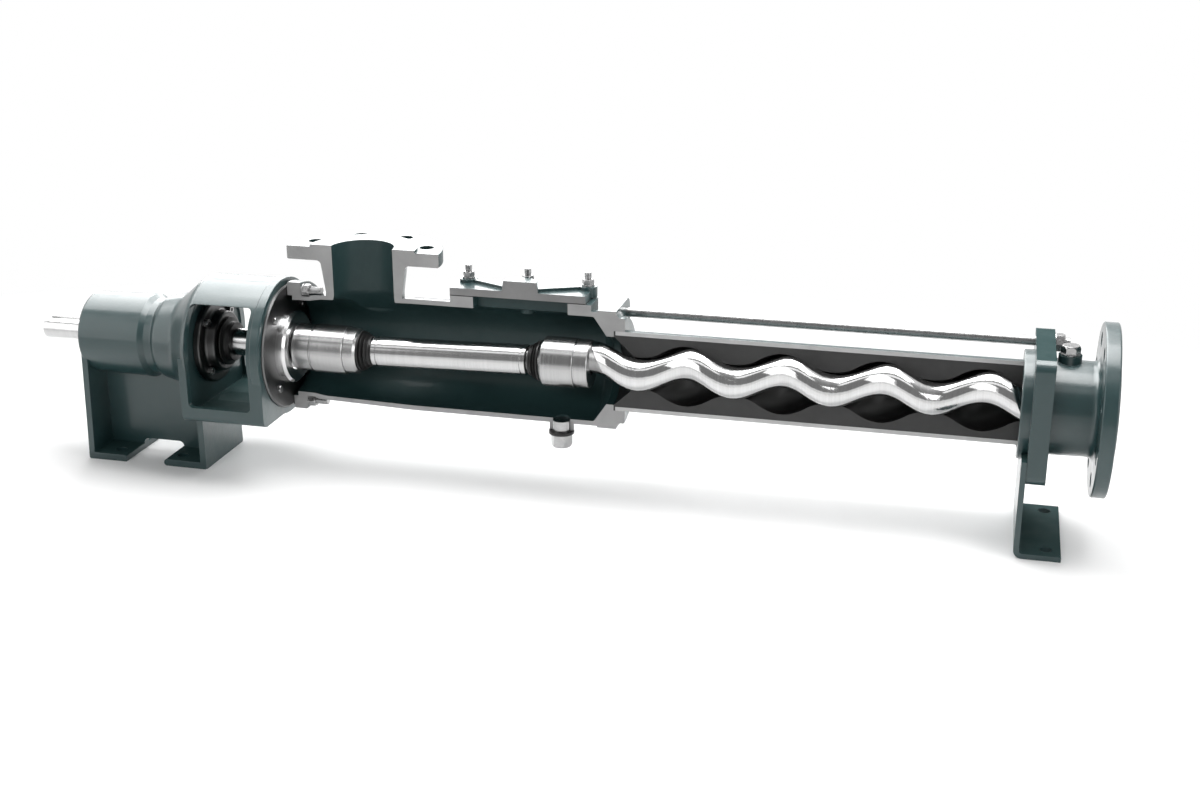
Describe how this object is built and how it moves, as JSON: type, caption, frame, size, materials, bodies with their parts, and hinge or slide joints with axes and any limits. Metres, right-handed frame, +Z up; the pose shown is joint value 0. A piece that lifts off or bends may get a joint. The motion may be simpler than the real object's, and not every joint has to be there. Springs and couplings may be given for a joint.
{
  "type": "progressive cavity pump",
  "caption": "Progressive cavity pump cut open lengthwise: bearing bracket, pinned coupling rod, helical rotor in a rubber-lined stator, ring flanges at inlet and outlet.",
  "frame": {"origin": "centre of the bounding box in plan, on the floor the feet stand on", "axes": "+X along the pump from the drive shaft's end to the discharge flange, +Y away from the cut-open side, +Z up, the way the suction flange faces"},
  "size_m": [1.352, 0.2, 0.2945],
  "materials": {
    "paint": "satin",
    "steel": "polished",
    "zinc": "satin",
    "bare_casting": "satin",
    "rubber": "matte",
    "bronze": "satin"
  },
  "bodies": {
    "frame": {"bearing_bracket": "paint", "bearing_outer_rings": "steel", "bearing_spacer": "steel", "bearing_shim": "steel", "bearing_cover": "paint", "bearing_cover_bolts": "zinc", "shaft_lip_seals": "rubber", "seal_cover": "bare_casting", "seal_cover_bolts": "zinc", "seal_seat": "steel", "suction_casing": "paint", "casing_seal_ring": "rubber", "casing_studs": "zinc", "casing_nuts": "zinc", "casing_washers": "zinc", "inspection_cover": "paint", "cover_gasket": "rubber", "cover_studs": "zinc", "cover_washers": "zinc", "cover_nuts": "zinc", "drain_washer": "rubber", "drain_plug": "zinc", "stator_tube": "steel", "stator_lining": "rubber", "discharge_casing": "paint", "gauge_washer": "zinc", "gauge_plug": "zinc", "tie_rods": "zinc", "tie_rod_washers": "zinc", "tie_rod_nuts": "zinc", "support_foot": "paint"},
    "shaft": {"drive_shaft": "steel", "bearing_inner_rings": "steel", "bearing_locknut": "steel", "shaft_circlip": "steel", "slinger_ring": "rubber", "seal_rotating_ring": "steel", "seal_sleeve": "steel", "drive_joint_head": "steel", "drive_joint_sleeve": "steel", "drive_joint_pin": "steel"},
    "ball_sets": {"bearing_balls": "steel", "bearing_cages": "bronze"},
    "boots": {"joint_boots": "rubber"},
    "rod": {"coupling_rod": "steel", "rod_bushings": "bronze"},
    "rotor": {"rotor": "steel", "rotor_joint_head": "steel", "rotor_joint_sleeve": "steel", "rotor_joint_pin": "steel"}
  },
  "joints": [
    {"name": "shaft_turn", "type": "hinge", "parent": "frame", "child": "shaft", "pos_m": [-0.527, 0, 0.16], "axis": [1, 0, 0], "continuous": true},
    {"name": "ball_roll", "type": "hinge", "parent": "frame", "child": "ball_sets", "pos_m": [-0.527, 0, 0.16], "axis": [1, 0, 0], "continuous": true},
    {"name": "boot_sweep", "type": "hinge", "parent": "shaft", "child": "boots", "pos_m": [-0.27, 0, 0.16], "axis": [1, 0, 0], "continuous": true},
    {"name": "rod_turn", "type": "hinge", "parent": "boots", "child": "rod", "pos_m": [-0.27, 0, 0.16], "axis": [0.9995, -0.0135, 0.0276], "continuous": true},
    {"name": "rotor_turn", "type": "hinge", "parent": "boots", "child": "rotor", "pos_m": [0.023, -0.00395, 0.16809], "axis": [1, 0, 0], "continuous": true}
  ],
  "couplings": [
    {"joint": "ball_roll", "follows": "shaft_turn", "ratio": 0.39944},
    {"joint": "boot_sweep", "follows": "shaft_turn", "ratio": -2},
    {"joint": "rod_turn", "follows": "shaft_turn", "ratio": 2},
    {"joint": "rotor_turn", "follows": "shaft_turn", "ratio": 2}
  ]
}
